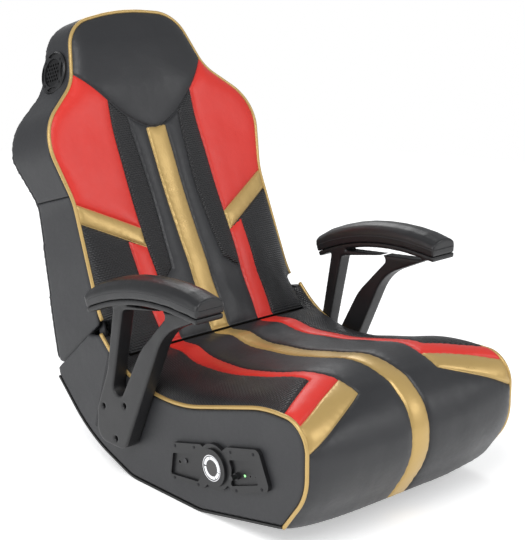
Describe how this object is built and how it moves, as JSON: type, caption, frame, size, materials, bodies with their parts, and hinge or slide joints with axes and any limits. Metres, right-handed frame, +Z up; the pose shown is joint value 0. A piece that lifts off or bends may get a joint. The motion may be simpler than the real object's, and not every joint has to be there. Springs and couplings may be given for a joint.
{
  "type": "gaming rocker chair",
  "caption": "Padded floor rocker seat with a curved underside, a high back that folds forward, side arms, a panel of controls and a speaker pod at each side of the headrest.",
  "frame": {"origin": "middle of the flat landing in the curved underside on which the chair rests", "axes": "X runs across the chair to its left arm, Y to the rear, Z up"},
  "size_m": [0.62, 0.8798, 0.7953],
  "materials": {
    "cover_vinyl": "matt grained black vinyl",
    "cushion_vinyl": "matt grained vinyl over foam, black with red and gold panels",
    "piping_gold": "smooth gold vinyl piping",
    "board_wood": "bare plywood",
    "edge_rubber": "matt black edging",
    "hinge_steel": "black painted steel",
    "arm_plastic": "fine grained black plastic",
    "screw_steel": "black oxide steel",
    "panel_plastic": "satin black plastic",
    "ring_chrome": "polished chrome",
    "badge_dark": "gloss black plastic, left bare",
    "socket_plastic": "black plastic",
    "lens_green": "clear green plastic",
    "grille_steel": "black painted perforated sheet",
    "driver_cone": "dark pressed paper cone",
    "knob_plastic": "satin black plastic",
    "button_plastic": "satin black plastic"
  },
  "bodies": {
    "base": {"base_side_board_right": "board_wood", "base_side_board_left": "board_wood", "base_side_cover_right": "cover_vinyl", "base_side_cover_left": "cover_vinyl", "seat_cushion": "cushion_vinyl", "seat_deck": "board_wood", "front_board": "board_wood", "bottom_panel": "board_wood", "front_rail": "board_wood", "rear_rail": "board_wood", "base_closing_board": "board_wood", "rocker_edge_right": "edge_rubber", "rocker_edge_left": "edge_rubber", "base_piping_right": "piping_gold", "base_piping_left": "piping_gold", "base_hinge_leaf_right": "hinge_steel", "base_hinge_leaf_left": "hinge_steel", "hinge_pin_right": "hinge_steel", "hinge_pin_left": "hinge_steel", "arm_frame_right": "arm_plastic", "arm_frame_left": "arm_plastic", "arm_pad_right": "cushion_vinyl", "arm_pad_left": "cushion_vinyl", "arm_screws_right": "screw_steel", "arm_screws_left": "screw_steel", "control_panel": "panel_plastic", "panel_screws": "screw_steel", "panel_disc": "panel_plastic", "disc_ring": "ring_chrome", "disc_badge": "badge_dark", "amplifier_case": "panel_plastic", "power_inlet": "socket_plastic", "audio_sockets": "socket_plastic", "indicator_lens": "lens_green"},
    "back": {"back_hinge_leaf_right": "hinge_steel", "back_hinge_leaf_left": "hinge_steel", "back_cushion": "cushion_vinyl", "back_side_cover_right": "cover_vinyl", "back_side_cover_left": "cover_vinyl", "head_side_cover_right": "cover_vinyl", "head_side_cover_left": "cover_vinyl", "back_rear_cover": "cover_vinyl", "back_side_board_right": "board_wood", "back_side_board_left": "board_wood", "back_panel": "board_wood", "shoulder_rail": "board_wood", "back_bottom_rail": "board_wood", "back_closing_board": "board_wood", "headrest_frame": "board_wood", "back_piping": "piping_gold", "speaker_housing_right": "panel_plastic", "speaker_housing_left": "panel_plastic", "speaker_screws_right": "screw_steel", "speaker_screws_left": "screw_steel", "speaker_grille_right": "grille_steel", "speaker_grille_left": "grille_steel", "speaker_driver_right": "driver_cone", "speaker_driver_left": "driver_cone"},
    "volume_knob": {"volume_knob": "knob_plastic"},
    "power_button": {"power_button": "button_plastic"}
  },
  "joints": [
    {"name": "back_fold", "type": "hinge", "parent": "base", "child": "back", "pos_m": [0, 0.21527, 0.26338], "axis": [1, 0, 0], "range_deg": [0, 105]},
    {"name": "volume_turn", "type": "hinge", "parent": "base", "child": "volume_knob", "pos_m": [-0.26, -0.204, 0.102], "axis": [-1, 0, 0], "range_deg": [0, 300]},
    {"name": "power_press", "type": "slide", "parent": "base", "child": "power_button", "axis": [1, 0, 0], "range_m": [0, 0.0015], "stiffness_N_per_m": 400, "springref_m": -0.0005}
  ]
}
